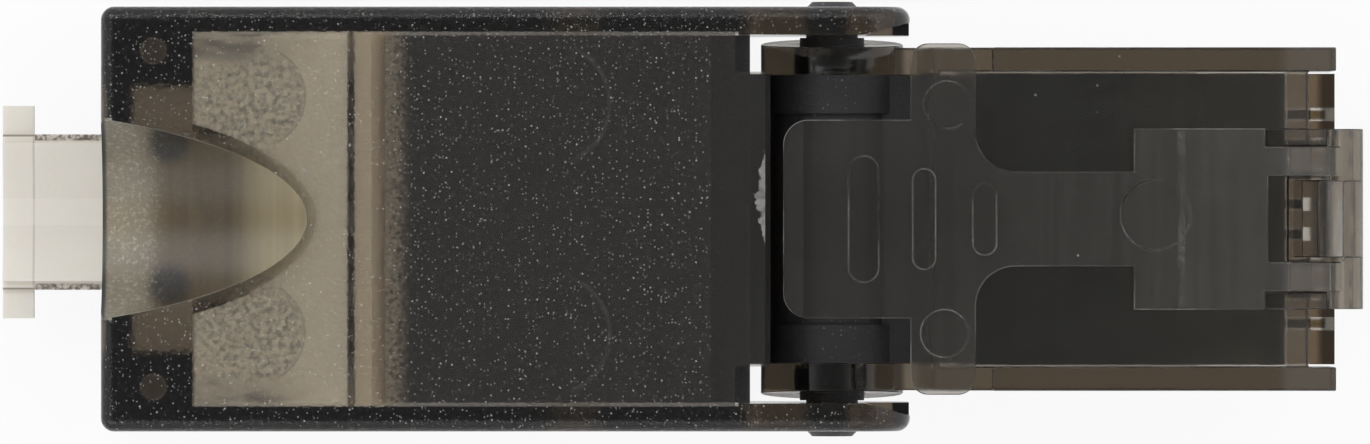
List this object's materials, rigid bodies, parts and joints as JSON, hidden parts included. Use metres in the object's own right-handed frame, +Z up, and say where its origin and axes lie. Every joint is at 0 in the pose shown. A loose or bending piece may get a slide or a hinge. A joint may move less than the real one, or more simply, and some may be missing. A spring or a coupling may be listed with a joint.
{
  "type": "rj45 modular plug",
  "caption": "Field-fitted modular plug: smoke housing with a tilting nose, ivory wire cap with a tie tongue, and a long latch lever with a thumb pad.",
  "frame": {"origin": "centre of the bounding box on the underside of the rear housing", "axes": "+X from the cable end to the nose, +Y along the hinge axis of the nose, +Z up to the side with the latch"},
  "size_m": [0.0464, 0.0148, 0.0117],
  "materials": {
    "smoke_textured": "smoke translucent plastic, fine spark-eroded texture",
    "smoke_gloss": "smoke translucent plastic, glossy",
    "ivory": "natural translucent plastic",
    "black": "opaque black plastic, fine texture",
    "board": "dark green solder mask",
    "ribbon": "amber polyimide film",
    "amber": "translucent plastic, light brown where thin",
    "tinned": "tin-plated bronze",
    "gold": "gold-plated bronze"
  },
  "bodies": {
    "rear": {"rear_cover": "smoke_textured", "rear_base": "smoke_textured", "wire_cap": "ivory", "wire_comb": "ivory", "core_block": "black", "rear_board": "board", "flex_ribbon": "ribbon", "idc_contact_1": "tinned", "idc_contact_2": "tinned", "idc_contact_3": "tinned", "idc_contact_4": "tinned", "idc_contact_5": "tinned", "idc_contact_6": "tinned", "idc_contact_7": "tinned", "idc_contact_8": "tinned"},
    "nose": {"nose_shell": "smoke_gloss", "hinge_insert": "black", "hinge_pin_1": "black", "hinge_pin_2": "black", "nose_board": "board", "contact_carrier": "amber", "contact_blade_1": "gold", "contact_blade_2": "gold", "contact_blade_3": "gold", "contact_blade_4": "gold", "contact_blade_5": "gold", "contact_blade_6": "gold", "contact_blade_7": "gold", "contact_blade_8": "gold"},
    "latch": {"latch_lever": "smoke_gloss"}
  },
  "joints": [
    {"name": "nose_tilt", "type": "hinge", "parent": "rear", "child": "nose", "pos_m": [0.00522, 0, 0.0056], "axis": [0, 1, 0], "range_deg": [-5, 60], "deforming": ["flex_ribbon"]},
    {"name": "latch_press", "type": "hinge", "parent": "nose", "child": "latch", "pos_m": [0.02267, 0, 0.0088], "axis": [0, -1, 0], "range_deg": [0, 7], "stiffness_Nm_per_rad": 0.05}
  ]
}
